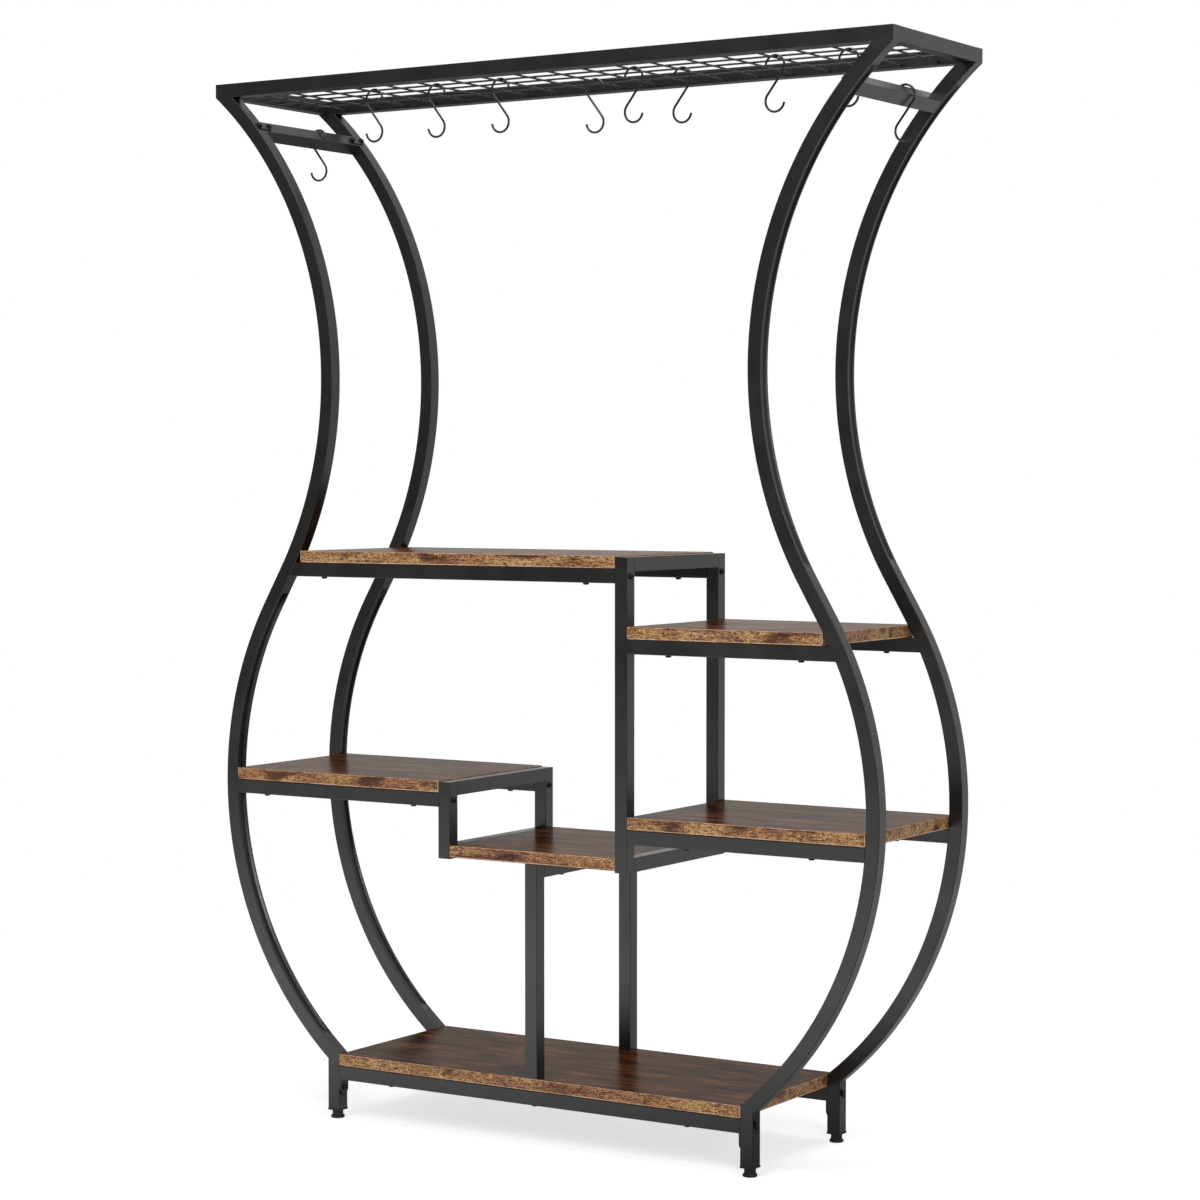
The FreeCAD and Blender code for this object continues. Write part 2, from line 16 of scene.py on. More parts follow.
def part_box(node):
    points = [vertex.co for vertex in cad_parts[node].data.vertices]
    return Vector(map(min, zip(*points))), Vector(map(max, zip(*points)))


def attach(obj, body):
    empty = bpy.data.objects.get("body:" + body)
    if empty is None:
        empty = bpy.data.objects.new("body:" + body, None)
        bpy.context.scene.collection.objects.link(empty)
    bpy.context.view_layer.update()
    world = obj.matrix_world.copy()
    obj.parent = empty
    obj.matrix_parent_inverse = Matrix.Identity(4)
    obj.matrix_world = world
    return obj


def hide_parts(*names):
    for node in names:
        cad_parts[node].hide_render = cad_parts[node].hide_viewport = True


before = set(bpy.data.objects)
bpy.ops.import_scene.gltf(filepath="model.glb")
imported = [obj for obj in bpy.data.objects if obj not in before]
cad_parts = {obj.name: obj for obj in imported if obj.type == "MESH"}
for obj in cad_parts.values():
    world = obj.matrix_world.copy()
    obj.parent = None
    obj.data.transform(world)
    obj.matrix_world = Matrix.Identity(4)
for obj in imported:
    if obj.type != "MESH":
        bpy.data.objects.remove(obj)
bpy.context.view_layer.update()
MM = 0.001

# %% [markdown]
# ## Colours and nodes
# Colours are written as the hex values that a colour picker shows. The shader works with linear light,
# so one function converts them. A second one adds a shader node: plain values go on its sockets and
# sockets are linked, so that a material reads as a list of what it is made of.

# %% Colour and node helpers
def linear(hex_colour):
    """Turns an sRGB hex colour into linear red, green, blue and alpha."""
    channels = [int(hex_colour[i:i + 2], 16) / 255 for i in (1, 3, 5)]
    return [c / 12.92 if c <= 0.04045 else ((c + 0.055) / 1.055) ** 2.4 for c in channels] + [1.0]


def add(tree, kind, inputs=None, stops=None, **settings):
    """Adds a node; inputs are values or sockets to link, stops a colour ramp's positions and colours."""
    made = tree.nodes.new(kind)
    for name, value in settings.items():
        setattr(made, name, value)
    for key, value in (inputs or {}).items():
        if isinstance(value, bpy.types.NodeSocket):
            tree.links.new(value, made.inputs[key])
        else:
            made.inputs[key].default_value = value
    for index, (position, colour) in enumerate(stops or []):
        ramp = made.color_ramp.elements
        stop = ramp[index] if index < 2 else ramp.new(position)
        stop.position = position
        stop.color = linear(colour)
    return made


def new_material(name):
    """Makes an empty material; returns it and its node tree."""
    made = bpy.data.materials.new(name)
    made.use_nodes = True
    made.node_tree.nodes.clear()
    return made, made.node_tree


def surface(tree, inputs):
    """Ends a material in one principled shader."""
    shader = add(tree, "ShaderNodeBsdfPrincipled", inputs)
    add(tree, "ShaderNodeOutputMaterial", {"Surface": shader.outputs[0]})


print("half grey in linear light:", [round(c, 3) for c in linear("#808080")[:3]])

# %% [markdown]
# ## Powder-coated steel
# The tubes are sprayed with a dry polyester powder and baked, which leaves a satin black skin with a
# faint orange peel, one or two millimetres from crest to crest. The eye sees it as soft, slightly broken
# reflections. Noise gives the peel as bump, and a slower noise changes the gloss a little from place to
# place. The grid's wire has the same coat, a little duller. The hooks are dipped in lacquer, which is
# smoother and shinier.

# %% Powder coat and lacquer
cloud_size = 60 * MM


def coated(name, colour, lighter, roughness, peel_size, peel_height):
    made, tree = new_material(name)
    place = add(tree, "ShaderNodeTexCoord").outputs["Object"]
    peel = add(tree, "ShaderNodeTexNoise", {"Vector": place, "Scale": 1 / peel_size, "Detail": 2.0})
    cloud = add(tree, "ShaderNodeTexNoise", {"Vector": place, "Scale": 1 / cloud_size, "Detail": 3.0})
    tone = add(tree, "ShaderNodeValToRGB", {"Fac": cloud.outputs["Fac"]}, [(0.3, colour), (0.75, lighter)])
    gloss = add(tree, "ShaderNodeMapRange", {"Value": cloud.outputs["Fac"],
                                             "From Min": 0.25, "From Max": 0.75,
                                             "To Min": roughness - 0.05, "To Max": roughness + 0.06})
    bump = add(tree, "ShaderNodeBump", {"Height": peel.outputs["Fac"], "Distance": peel_height,
                                        "Strength": 0.5})
    surface(tree, {"Base Color": tone.outputs["Color"], "Roughness": gloss.outputs["Result"],
                   "Normal": bump.outputs["Normal"], "Specular IOR Level": 0.55})
    return made


powder_coat = coated("satin black powder coat on steel", "#0f0e0d", "#151413", roughness=0.31,
                     peel_size=1.6 * MM, peel_height=0.05 * MM)
wire_coat = coated("black powder coat on welded wire", "#0e0e0d", "#131312", roughness=0.4,
                   peel_size=1.2 * MM, peel_height=0.04 * MM)
hook_coat = coated("black lacquer on bent wire", "#0d0d0d", "#121212", roughness=0.28,
                   peel_size=2.0 * MM, peel_height=0.02 * MM)
print("finishes:", powder_coat.name, "|", wire_coat.name, "|", hook_coat.name)

# %% [markdown]
# ## Screws, bolts, feet and plugs
# The screws and bolts are steel with a black oxide skin, a dark metal with a dull, cloudy sheen. The
# feet and the plugs in the legs are moulded from black plastic, which has no metal in it and a fine matt
# grain from the mould.

# %% Black oxide and moulded plastic
oxide_cloud_size = 3 * MM
mould_grain_size = 0.8 * MM
mould_grain_height = 0.04 * MM

oxide_steel, tree = new_material("black oxide steel")
place = add(tree, "ShaderNodeTexCoord").outputs["Object"]
cloud = add(tree, "ShaderNodeTexNoise", {"Vector": place, "Scale": 1 / oxide_cloud_size, "Detail": 3.0})
tone = add(tree, "ShaderNodeValToRGB", {"Fac": cloud.outputs["Fac"]}, [(0.3, "#1b1b1c"), (0.8, "#2a2929")])
gloss = add(tree, "ShaderNodeMapRange", {"Value": cloud.outputs["Fac"], "To Min": 0.28, "To Max": 0.5})
surface(tree, {"Base Color": tone.outputs["Color"], "Metallic": 0.7, "Roughness": gloss.outputs["Result"]})

moulded_plastic, tree = new_material("moulded black polypropylene")
place = add(tree, "ShaderNodeTexCoord").outputs["Object"]
grain = add(tree, "ShaderNodeTexNoise", {"Vector": place, "Scale": 1 / mould_grain_size, "Detail": 2.0})
tone = add(tree, "ShaderNodeValToRGB", {"Fac": grain.outputs["Fac"]}, [(0.3, "#121212"), (0.8, "#1b1b1b")])
bump = add(tree, "ShaderNodeBump", {"Height": grain.outputs["Fac"], "Distance": mould_grain_height,
                                    "Strength": 0.6})
surface(tree, {"Base Color": tone.outputs["Color"], "Roughness": 0.55, "Normal": bump.outputs["Normal"],
               "Specular IOR Level": 0.4})
print("finishes:", oxide_steel.name, "|", moulded_plastic.name)

# %% [markdown]
# ## Wood boards
# The boards are particle board in a printed foil that imitates old sawn wood. The faces are dark, a
# red-brown with the grain along the board, under a smooth lacquer. The edges have a lighter foil, golden
# brown with rusty and smoky patches and fine saw flecks; where face and edge meet, the foil is bent and
# shows as a pale line. Stretched noise makes the grain: a streak is long along X and narrow across it.

# %% Wood foil
def stretched(tree, long, wide):
    """Noise whose streaks are long along X and wide across it."""
    place = add(tree, "ShaderNodeTexCoord").outputs["Object"]
    drawn_out = add(tree, "ShaderNodeMapping", {"Vector": place, "Scale": (1 / long, 1 / wide, 1 / wide)})
    return add(tree, "ShaderNodeTexNoise", {"Vector": drawn_out.outputs[0], "Scale": 1.0, "Detail": 4.0,
                                            "Distortion": 0.5}).outputs["Fac"]


def wood(name, layers, gloss, relief, specular):
    """Foil of colour layers that multiply; a layer is a streak's length and width in mm, and a ramp."""
    made, tree = new_material(name)
    tone = None
    for long, wide, stops in layers:
        streaks = stretched(tree, long * MM, wide * MM)
        layer = add(tree, "ShaderNodeValToRGB", {"Fac": streaks}, stops).outputs["Color"]
        if tone is not None:
            layer = add(tree, "ShaderNodeMix", {0: 1.0, 6: tone, 7: layer}, data_type="RGBA",
                        blend_type="MULTIPLY").outputs[2]
        tone = layer
    rough = add(tree, "ShaderNodeMapRange", {"Value": streaks, "From Min": 0.3, "From Max": 0.7,
                                             "To Min": gloss + 0.06, "To Max": gloss - 0.04})
    bump = add(tree, "ShaderNodeBump", {"Height": streaks, "Distance": relief, "Strength": 0.5})
    surface(tree, {"Base Color": tone, "Roughness": rough.outputs["Result"],
                   "Normal": bump.outputs["Normal"], "Specular IOR Level": specular})
    return made


print("foil helper ready: streaks run along X")

# %% [markdown]
# ## Three foils
# Each foil lists its layers: the ground colour with its long bands first, then the darker streaks,
# patches and flecks that multiply it. White in a ramp leaves the layers below as they are. The finest
# flecks of the real foil are about 1 mm wide; they are drawn at about 2 mm so that they show.

# %% Face, edge and arris
face_foil = wood("dark rustic wood foil on the board faces", [
    (230, 22, [(0.3, "#4c2a14"), (0.7, "#996239"), (0.5, "#704324")]),
    (120, 6, [(0.32, "#6a5244"), (0.58, "#ffffff")]),
    (140, 60, [(0.34, "#8c7468"), (0.58, "#ffffff")]),
    (2, 22, [(0.34, "#c4b4a8"), (0.5, "#ffffff")]),
    (60, 1.6, [(0.36, "#80695a"), (0.54, "#ffffff")]),
], gloss=0.26, relief=0.02 * MM, specular=0.012)
edge_foil = wood("golden rustic wood foil on the board edges", [
    (130, 40, [(0.3, "#976b56"), (0.72, "#c59c74"), (0.42, "#b18158"), (0.54, "#c29b68")]),
    (90, 26, [(0.36, "#8d6f68"), (0.5, "#ffffff")]),
    (12, 2, [(0.36, "#957868"), (0.56, "#ffffff")]),
    (2, 4, [(0.36, "#ac9a8e"), (0.56, "#ffffff")]),
    (3, 2, [(0.36, "#4b3730"), (0.48, "#ffffff")]),
], gloss=0.45, relief=0.03 * MM, specular=0.3)
worn_arris = wood("bent foil along the arrises", [
    (60, 30, [(0.3, "#a87f62"), (0.7, "#d9b998"), (0.5, "#c69f7f")]),
    (9, 4, [(0.3, "#a08878"), (0.5, "#ffffff")]),
], gloss=0.5, relief=0.03 * MM, specular=0.3)
print("finishes:", face_foil.name, "|", edge_foil.name, "|", worn_arris.name)

# %% [markdown]
# ## From a bmesh to a piece
# Each new piece is one closed mesh whose place is in its vertices. It rides on a body of the frame,
# takes the finishes that it is given and stands for the solids that it replaces, which are hidden. Flat
# faces stay flat and rounded corners stay round when edges below forty degrees are shaded smooth and the
# normals are weighted by face area.

# %% Piece helper
smooth_below = math.radians(40)


def make_piece(bm, name, materials, body, slot, *stands_for):
    bmesh.ops.recalc_face_normals(bm, faces=bm.faces)
    for face in bm.faces:
        face.smooth = True
    for edge in bm.edges:
        edge.smooth = edge.calc_face_angle(0.0) < smooth_below
    mesh = bpy.data.meshes.new(name)
    bm.to_mesh(mesh)
    bm.free()
    for material in materials:
        mesh.materials.append(material)
    piece = bpy.data.objects.new(name, mesh)
    bpy.context.scene.collection.objects.link(piece)
    piece.modifiers.new("weighted normals", "WEIGHTED_NORMAL").keep_sharp = True
    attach(piece, body)
    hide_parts(*stands_for)
    return piece


# %% [markdown]
# ## Boards
# A board is a sawn panel with slightly eased edges, and its lower edges are cut back a little more. The
# chamfer lies in shade above the rails, and the dark face foil on it is painted shade that makes that line
# darker still. A cube is scaled to the solid's box, its lower edges get a chamfer, and then all edges are
# bevelled in one step, so the arris is a real strip of faces. The faces get their finish by the way they
# look: up and down the dark foil, on the chamfer the dark foil as painted shade, sideways the edge foil,
# and on the strips between the worn arris.

# %% Boards
arris_width = 0.9 * MM
under_chamfer = 1.5 * MM
face_foil_and_painted_chamfer_shade, edge_finish, arris_finish = range(3)
# How far a normal has to point up or down for the face foil, or sideways for the edge foil; the chamfer
# under the board passes the first test, so its dark foil there is painted shade
least_rise_face_and_chamfer_shade = 0.6
least_across = 0.99


def make_board(node):
    low, high = (Vector(corner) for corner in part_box(node))
    middle = (low + high) / 2
    bm = bmesh.new()
    bmesh.ops.create_cube(bm, size=1.0)
    bmesh.ops.scale(bm, vec=high - low, verts=bm.verts)
    bmesh.ops.translate(bm, vec=middle, verts=bm.verts)
    under = [edge for edge in bm.edges if all(vert.co.z < middle.z for vert in edge.verts)]
    bmesh.ops.bevel(bm, geom=under, offset=under_chamfer, affect="EDGES", segments=1, profile=0.5,
                    material=-1)
    bmesh.ops.bevel(bm, geom=bm.edges[:], offset=arris_width, affect="EDGES", segments=2, profile=0.5,
                    material=-1)
    bm.normal_update()
    for face in bm.faces:
        face.material_index = arris_finish
        # The chamfer under the board also passes this test: its dark foil is painted shade for the line
        # above the rails.
        if abs(face.normal.z) > least_rise_face_and_chamfer_shade:
            face.material_index = face_foil_and_painted_chamfer_shade
        elif max(abs(face.normal.x), abs(face.normal.y)) > least_across:
            face.material_index = edge_finish
    return make_piece(bm, node + "_foiled", [face_foil, edge_foil, worn_arris], "frame", "board", node)


for node in [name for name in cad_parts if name.endswith("_board")]:
    board = make_board(node)
    print(board.name, [round(side / MM) for side in board.dimensions], "mm")

# %% [markdown]
# ## The side curve
# Seen from the front, an upright is a vertical leg, a mitre, a bend outwards, a straight stretch with a
# splice, and a bend the other way up to the top frame. The middle line is worked out from the same radii
# as the solid: the two bend centres lie on opposite sides of the straight, and the upper bend ends at
# the frame's corner.

# %% Sizes and centres of the two bends
tube = 25 * MM
half = tube / 2
overall_width = 1400 * MM
overall_depth = 335 * MM
leg_span = 893 * MM
leg_foot = 18 * MM
frame_bottom = 1875 * MM
belly_centre = Vector((28 * MM, 0, 610.5 * MM))
belly_radius = 640.5 * MM
neck_radius = 694 * MM
splice_straight = 80 * MM
seam_rise = 20 * MM
mitre_straight = 12 * MM

corner = Vector((overall_width / 2, 0, frame_bottom))
to_corner = corner - belly_centre
reach = math.hypot(belly_radius + neck_radius, splice_straight)
along = (reach ** 2 - (neck_radius - half) ** 2 + to_corner.length_squared) / (2 * to_corner.length)
aside = Vector((to_corner.z, 0, -to_corner.x)).normalized() * math.sqrt(reach ** 2 - along ** 2)
neck_centre = belly_centre + to_corner.normalized() * along + aside
print("neck bend about", [round(value / MM, 1) for value in neck_centre])

# %% [markdown]
# ## Seam and mitre
# The straight stretch touches both bends, so its direction follows from the two centres and the radii.
# At its lower end, a short straight carries the belly's bend on to the mitre, where it meets the leg.
# The seam between the two halves of an upright lies a little above the middle of the straight stretch.

# %% Points along the side curve
def at_angle(angle):
    return Vector((math.cos(angle), 0, math.sin(angle)))


def turned_up(direction):
    return Vector((-direction.z, 0, direction.x))


to_neck = neck_centre - belly_centre
splice_angle = math.atan2(to_neck.z, to_neck.x) - math.atan2(splice_straight, belly_radius + neck_radius)
splice_out = at_angle(splice_angle)
splice_up = turned_up(splice_out)
leg_x = leg_span / 2 - half
bow_angle = math.atan2(mitre_straight, belly_radius)
bow_angle -= math.acos((leg_x - belly_centre.x) / math.hypot(belly_radius, mitre_straight))
bow_up = turned_up(at_angle(bow_angle))
bow_start = belly_centre + at_angle(bow_angle) * belly_radius
mitre = bow_start - bow_up * mitre_straight
seam = belly_centre + splice_out * belly_radius + splice_up * (splice_straight / 2 + seam_rise)
print("seam at", [round(value / MM, 1) for value in seam])
print("mitre at", [round(value / MM, 1) for value in mitre])

# %% [markdown]
# ## Section of the tube
# A tube is a section that runs along its middle line, so the section is drawn once: a square with
# rounded corners. A press wheel has dented the hollow side of each bend with a long round groove, so the
# section also gets lines on which that round can be shaped.

# %% Section of the tube
tube_corner = 1 * MM
groove_half = 8.5 * MM
lines_each_side = 8
cut_tolerance = 1e-7


def tube_section(bm, place):
    """Rounded square with lines for the groove, filled, at a place; returns its faces."""
    bmesh.ops.create_circle(bm, cap_ends=True, segments=4, radius=tube / math.sqrt(2),
                            matrix=Matrix.Rotation(math.radians(45), 4, "Z"))
    bmesh.ops.bevel(bm, geom=bm.verts[:], offset=tube_corner, affect="VERTICES", segments=4, profile=0.5,
                    material=-1)
    for line in range(-lines_each_side, lines_each_side + 1):
        geom = bm.verts[:] + bm.edges[:] + bm.faces[:]
        bmesh.ops.bisect_plane(bm, geom=geom, dist=cut_tolerance, plane_no=(0, 1, 0),
                               plane_co=(0, groove_half * line / lines_each_side, 0))
    bmesh.ops.transform(bm, matrix=place, verts=bm.verts)
    return bm.faces[:]


print("section of", tube / MM, "mm with a groove", 2 * groove_half / MM, "mm wide")

# %% [markdown]
# ## Along the straights and round the bends
# The end of the tube is kept as a list of faces, the cap. Extruding it makes a straight and spinning it
# makes a bend, and each step hands back the new cap for the next one. At the mitre, the cap slides along
# the tube until it lies in the sloping plane of the cut.

# %% Steps along the tube
step_angle = math.radians(1.5)


def faces_of(geom):
    return [part for part in geom if isinstance(part, bmesh.types.BMFace)]


def verts_of(cap):
    return list({vert for face in cap for vert in face.verts})


def run_straight(bm, cap, offset):
    cap = faces_of(bmesh.ops.extrude_face_region(bm, geom=cap)["geom"])
    bmesh.ops.translate(bm, vec=offset, verts=verts_of(cap))
    return cap


def steps_for(angle):
    return max(1, round(abs(angle) / step_angle))


def run_bend(bm, cap, centre, angle, steps):
    """Spins the end round an axis along Y; a positive angle goes from +X towards +Z."""
    return faces_of(bmesh.ops.spin(bm, geom=cap, cent=centre, axis=(0, -1, 0), dvec=(0, 0, 0), angle=angle,
                                   steps=steps, use_merge=False, use_duplicate=False)["geom_last"])


def slide_to_plane(cap, direction, point, normal):
    """Moves an end along the tube until it lies in a sloping plane."""
    for vert in verts_of(cap):
        vert.co += direction * ((point - vert.co).dot(normal) / direction.dot(normal))


print("a bend turns", round(math.degrees(step_angle), 1), "degrees in each step")

# %% [markdown]
# ## Groove and rim
# The middle of the section is pushed in where the groove starts, runs on dented, and is let out again
# where it ends. The ends at the splice are broken with a small bevel, so that the joint shows as a fine
# line.

# %% Groove and rim
groove_depth = 5 * MM
groove_margin = 45 * MM
groove_below_seam = 29 * MM
groove_above_seam = 51 * MM
groove_ramp = 8 * MM
rim_bevel = 0.8 * MM


def dent(cap, inward, depth):
    """Pushes the middle of the hollow side in by a depth, in the round shape of the press wheel."""
    verts = verts_of(cap)
    middle = sum((vert.co for vert in verts), Vector()) / len(verts)
    for vert in verts:
        if (vert.co - middle).dot(inward) < 0:
            vert.co += inward * depth * max(1 - (vert.co.y / groove_half) ** 2, 0)


def break_rim(bm, cap):
    """Small bevel round an end."""
    inside = set(cap)
    rim = [edge for face in cap for edge in face.edges if not inside.issuperset(edge.link_faces)]
    bmesh.ops.bevel(bm, geom=rim, offset=rim_bevel, affect="EDGES", segments=2, profile=0.5, material=-1)


print("groove", groove_depth / MM, "mm deep")

# %% [markdown]
# ## Lower half of an upright
# The lower half starts at the leg plug, goes up to the mitre and round the belly, and ends at the seam.
# Its groove lies inside the bend and reaches a little into the straight. The shape is made for the
# right-hand side at Y = 0.

# %% Lower half
def lower_half(bm):
    upward = Vector((0, 0, 1))
    cap = tube_section(bm, Matrix.Translation((leg_x, 0, leg_foot)))
    cap = run_straight(bm, cap, upward * (mitre.z - leg_foot))
    slide_to_plane(cap, upward, mitre, upward + bow_up)
    cap = run_straight(bm, cap, bow_up * mitre_straight)
    slide_to_plane(cap, bow_up, bow_start, bow_up)
    lead = groove_margin / belly_radius
    ramp = groove_ramp / belly_radius
    cap = run_bend(bm, cap, belly_centre, lead - ramp, steps_for(lead))
    cap = run_bend(bm, cap, belly_centre, ramp, 1)
    dent(cap, at_angle(bow_angle + lead), groove_depth)
    rest = splice_angle - bow_angle - lead
    cap = run_bend(bm, cap, belly_centre, rest, steps_for(rest))
    cap = run_straight(bm, cap, splice_up * (splice_straight / 2 + seam_rise - groove_below_seam))
    cap = run_straight(bm, cap, splice_up * groove_ramp)
    dent(cap, splice_out, -groove_depth)
    cap = run_straight(bm, cap, splice_up * (groove_below_seam - groove_ramp))
    break_rim(bm, cap)


print("lower half from", leg_foot / MM, "mm to", round(seam.z / MM), "mm")

# %% [markdown]
# ## Upper half of an upright
# The upper half starts at the seam, where the section stands square to the straight, and bends the other
# way. Its groove lies on the outside of the stand. The top is spun past the frame and cut off level
# below it, as a saw would do, and the cut is filled.

# %% Upper half
past_cut = 2 * tube
in_plane = 1e-6


def upper_half(bm):
    columns = (splice_out, Vector((0, 1, 0)), splice_up, seam)
    place = Matrix([[column[row] for column in columns] for row in range(3)] + [[0, 0, 0, 1]])
    above = splice_straight / 2 - seam_rise
    cap = run_straight(bm, tube_section(bm, place), splice_up * above)
    lead = (groove_above_seam - above) / neck_radius
    trail = groove_margin / neck_radius
    ramp = groove_ramp / neck_radius
    top_angle = math.pi - math.asin((frame_bottom - neck_centre.z) / neck_radius)
    sweep = splice_angle + math.pi - top_angle
    cap = run_bend(bm, cap, neck_centre, ramp - lead, steps_for(lead))
    cap = run_bend(bm, cap, neck_centre, -ramp, 1)
    dent(cap, at_angle(splice_angle + math.pi - lead), groove_depth)
    grooved = sweep - lead - trail
    cap = run_bend(bm, cap, neck_centre, -grooved, steps_for(grooved))
    cap = run_bend(bm, cap, neck_centre, -ramp, 1)
    dent(cap, at_angle(top_angle + trail - ramp), -groove_depth)
    past = trail - ramp + past_cut / neck_radius
    run_bend(bm, cap, neck_centre, -past, steps_for(past))
    geom = bm.verts[:] + bm.edges[:] + bm.faces[:]
    cut = bmesh.ops.bisect_plane(bm, geom=geom, dist=cut_tolerance, plane_co=(0, 0, frame_bottom),
                                 plane_no=(0, 0, 1), clear_outer=True)["geom_cut"]
    bmesh.ops.contextual_create(bm, geom=[part for part in cut if isinstance(part, bmesh.types.BMEdge)])
    first_cap = [face for face in bm.faces
                 if all(abs((vert.co - seam).dot(splice_up)) < in_plane for vert in face.verts)]
    break_rim(bm, first_cap)


print("upper half from", round(seam.z / MM), "mm to", frame_bottom / MM, "mm")

# %% [markdown]
# ## Four uprights in eight halves
# Each half is made anew and moved to its corner of the stand. The left ones are mirrored, which turns a
# mesh inside out, so the normals are recalculated when the piece is made.

# %% Uprights
side_y = (overall_depth - tube) / 2
for depth_name, y in (("front", -side_y), ("rear", side_y)):
    for side_name, way in (("left", -1), ("right", 1)):
        for part, shape in (("lower", lower_half), ("upper", upper_half)):
            bm = bmesh.new()
            shape(bm)
            bmesh.ops.scale(bm, vec=(way, 1, 1), verts=bm.verts)
            bmesh.ops.translate(bm, vec=(0, y, 0), verts=bm.verts)
            node = "_".join((part, "upright", depth_name, side_name))
            upright = make_piece(bm, node + "_coated", [powder_coat], "frame", "tube", node)
            print(upright.name, len(upright.data.polygons), "faces")

# %% [markdown]
# ## Finishes on the solids that stay
# The rails, posts, grid, straps, hooks, screws and feet keep the shape of the solid model. Each gets the
# finish of the real piece by its name.

# %% Finishes by name
finish_for = {"wire_grid": wire_coat, "shelf_screws": oxide_steel, "frame_bolts": oxide_steel,
              "leg_plugs": moulded_plastic, "splice_plugs": oxide_steel}
for name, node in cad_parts.items():
    finish = finish_for.get(name, powder_coat)
    if "hook" in name:
        finish = hook_coat
    if name.startswith("foot_"):
        finish = moulded_plastic
    node.data.materials.clear()
    node.data.materials.append(finish)
print("finished", len(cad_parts), "solids")

# %% [markdown]
# ## Surroundings
# The camera sees pure white all round. The light that falls on the stand from there is only half as
# strong, so that colours come out about as they are written. Glossy black tubes show mostly what they
# mirror, so reflections see a third version: a room that is dim in front and brighter behind, which
# keeps the front faces dark.

# %% White surroundings
scene = bpy.context.scene
scene.view_settings.view_transform = "Standard"
white_level = 1.0
fill_level = 0.5
room_front_level, room_rear_level = 0.32, 0.8
room_turn = 0.3

world = bpy.data.worlds.new("white surroundings")
scene.world = world
world.use_nodes = True
tree = world.node_tree
tree.nodes.clear()
path = add(tree, "ShaderNodeLightPath")
direct = add(tree, "ShaderNodeMath", {0: path.outputs["Is Camera Ray"],
                                      1: path.outputs["Is Transmission Ray"]}, operation="MAXIMUM")
view = add(tree, "ShaderNodeTexCoord").outputs["Generated"]
ahead = add(tree, "ShaderNodeSeparateXYZ", {0: view}).outputs["Y"]
bright = add(tree, "ShaderNodeMapRange", {"Value": ahead, "From Min": -room_turn, "From Max": room_turn,
                                          "To Min": room_front_level, "To Max": room_rear_level})
room = add(tree, "ShaderNodeBackground", {"Color": linear("#fffdf8"),
                                          "Strength": bright.outputs["Result"]})
fill = add(tree, "ShaderNodeBackground", {"Color": linear("#ffffff"), "Strength": fill_level})
white = add(tree, "ShaderNodeBackground", {"Color": linear("#ffffff"), "Strength": white_level})
light = add(tree, "ShaderNodeMixShader", {0: path.outputs["Is Glossy Ray"], 1: fill.outputs[0],
                                          2: room.outputs[0]})
shown = add(tree, "ShaderNodeMixShader", {0: direct.outputs[0], 1: light.outputs[0], 2: white.outputs[0]})
add(tree, "ShaderNodeOutputWorld", {"Surface": shown.outputs[0]})
print("surroundings:", world.name)

# %% [markdown]
# ## Floor
# The stand is shown on a white sweep. Near the feet the floor is a pale surface that keeps the soft
# shadow, and further out it turns into the white of the surroundings, so no horizon shows. Reflections
# see other levels here too: a bright pool at the front left, and behind the stand a floor that is dim on
# the left and brighter on the right, so that the undersides stay dark and the faces on the right come
# out lighter.

# %% Floor as the camera sees it
floor_reach = 30.0
shadow_glow = 0.69
white_from, white_to = 1.2, 2.8

bm = bmesh.new()
bmesh.ops.create_grid(bm, x_segments=1, y_segments=1, size=floor_reach)
mesh = bpy.data.meshes.new("floor")
bm.to_mesh(mesh)
bm.free()
floor = bpy.data.objects.new("floor", mesh)
scene.collection.objects.link(floor)
sweep_paint, tree = new_material("white studio sweep")
mesh.materials.append(sweep_paint)
place = add(tree, "ShaderNodeTexCoord").outputs["Object"]
distance = add(tree, "ShaderNodeVectorMath", {0: place}, operation="LENGTH")
far = add(tree, "ShaderNodeMapRange", {"Value": distance.outputs["Value"], "From Min": white_from,
                                       "From Max": white_to})
paint = add(tree, "ShaderNodeBsdfDiffuse", {"Color": linear("#b0b0b0")})
glow = add(tree, "ShaderNodeEmission", {"Color": linear("#ffffff"), "Strength": shadow_glow})
near = add(tree, "ShaderNodeAddShader", {0: paint.outputs[0], 1: glow.outputs[0]})
white = add(tree, "ShaderNodeEmission", {"Color": linear("#ffffff"), "Strength": white_level})
shown = add(tree, "ShaderNodeMixShader", {0: far.outputs["Result"], 1: near.outputs[0],
                                          2: white.outputs[0]})
print("floor", [round(side) for side in floor.dimensions], "m")

# %% [markdown]
# ## Floor in reflections
# The level that a reflection sees is worked out from the place on the floor: the distance from the
# middle of the pool in front, and the place from left to right behind the stand. Light that the floor
# throws back softly on the stand comes from a plain pale paint.

# %% Floor as reflections see it
pool_middle = (-1.2, -2.2, 0)
pool_radius, pool_end = 1.1, 2.7
pool_level, dim_level = 2.3, 0.1
rear_left, rear_right = -1.0, 1.0
rear_left_level, rear_right_level = 0.2, 0.78
behind_from, behind_to = -0.2, 0.6

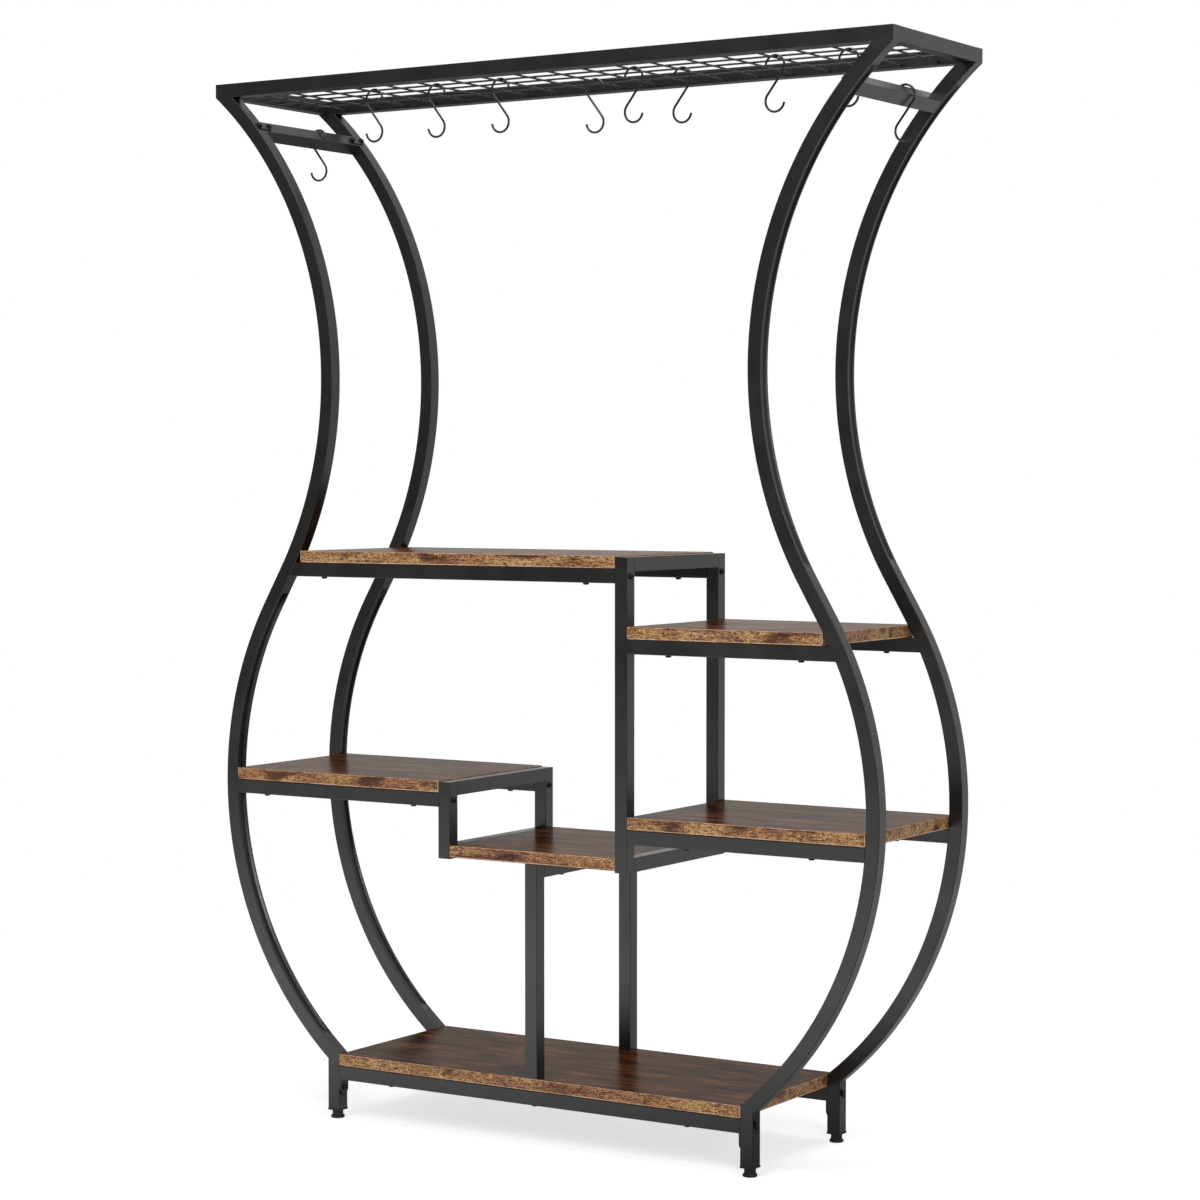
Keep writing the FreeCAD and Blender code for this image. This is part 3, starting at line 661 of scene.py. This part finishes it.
pool = add(tree, "ShaderNodeVectorMath", {0: place, 1: pool_middle}, operation="DISTANCE")
bright = add(tree, "ShaderNodeMapRange", {"Value": pool.outputs["Value"],
                                          "From Min": pool_radius, "From Max": pool_end,
                                          "To Min": pool_level, "To Max": dim_level})
spot = add(tree, "ShaderNodeSeparateXYZ", {0: place})
rear = add(tree, "ShaderNodeMapRange", {"Value": spot.outputs["X"],
                                        "From Min": rear_left, "From Max": rear_right,
                                        "To Min": rear_left_level, "To Max": rear_right_level})
behind = add(tree, "ShaderNodeMapRange", {"Value": spot.outputs["Y"], "From Min": behind_from,
                                          "From Max": behind_to})
level = add(tree, "ShaderNodeMix", {0: behind.outputs["Result"], 2: bright.outputs["Result"],
                                    3: rear.outputs["Result"]})
mirrored = add(tree, "ShaderNodeEmission", {"Color": linear("#ffffff"), "Strength": level.outputs[0]})
plain = add(tree, "ShaderNodeBsdfDiffuse", {"Color": linear("#e6e6e6")})
path = add(tree, "ShaderNodeLightPath")
other = add(tree, "ShaderNodeMixShader", {0: path.outputs["Is Glossy Ray"], 1: plain.outputs[0],
                                          2: mirrored.outputs[0]})
both = add(tree, "ShaderNodeMixShader", {0: path.outputs["Is Camera Ray"], 1: other.outputs[0],
                                         2: shown.outputs[0]})
add(tree, "ShaderNodeOutputMaterial", {"Surface": both.outputs[0]})
print("floor paint:", sweep_paint.name, "with", len(tree.nodes), "nodes")

# %% [markdown]
# ## Light
# Three large soft lamps give a plain studio light: the key lamp stands in front, high above the stand,
# the side lamp is at the camera's right, and the top lamp hangs above. All of them point at the middle
# of the stand.

# %% Lamps
stand_middle = Vector((0, 0, 0.9))


def soft_lamp(name, place, size, power):
    lamp = bpy.data.lights.new(name, "AREA")
    lamp.size = size
    lamp.energy = power
    made = bpy.data.objects.new(name, lamp)
    made.location = place
    made.rotation_euler = (stand_middle - Vector(place)).to_track_quat("-Z", "Y").to_euler()
    scene.collection.objects.link(made)
    return made


for lamp in (soft_lamp("key lamp", (0.2, -3.6, 4.4), size=2.0, power=120),
             soft_lamp("side lamp", (3.6, -3.4, 2.4), size=1.4, power=80),
             soft_lamp("top lamp", (0.4, 0.2, 4.4), size=2.6, power=60)):
    print(lamp.name, lamp.data.energy, "W")

# %% [markdown]
# ## Camera
# The camera stands where the photograph was taken: to the right in front, a little above the middle of
# the stand, with a long lens that looks slightly down. The lens follows from a focal length of 2984
# pixels on a picture 1200 pixels wide.

# %% Camera
picture_width = 1200
focal_length = 2984.06
sensor_width = 36
yaw = math.radians(32.39)
pitch = math.radians(-2.37)

lens = bpy.data.cameras.new("camera")
lens.sensor_width = sensor_width
lens.lens = focal_length / picture_width * sensor_width
camera = bpy.data.objects.new("camera", lens)
camera.location = (2.8830, -4.4859, 1.1747)
forward = Vector((-math.sin(yaw) * math.cos(pitch), math.cos(yaw) * math.cos(pitch), math.sin(pitch)))
camera.rotation_euler = forward.to_track_quat("-Z", "Y").to_euler()
scene.collection.objects.link(camera)
scene.camera = camera
print("lens", round(lens.lens, 1), "mm")
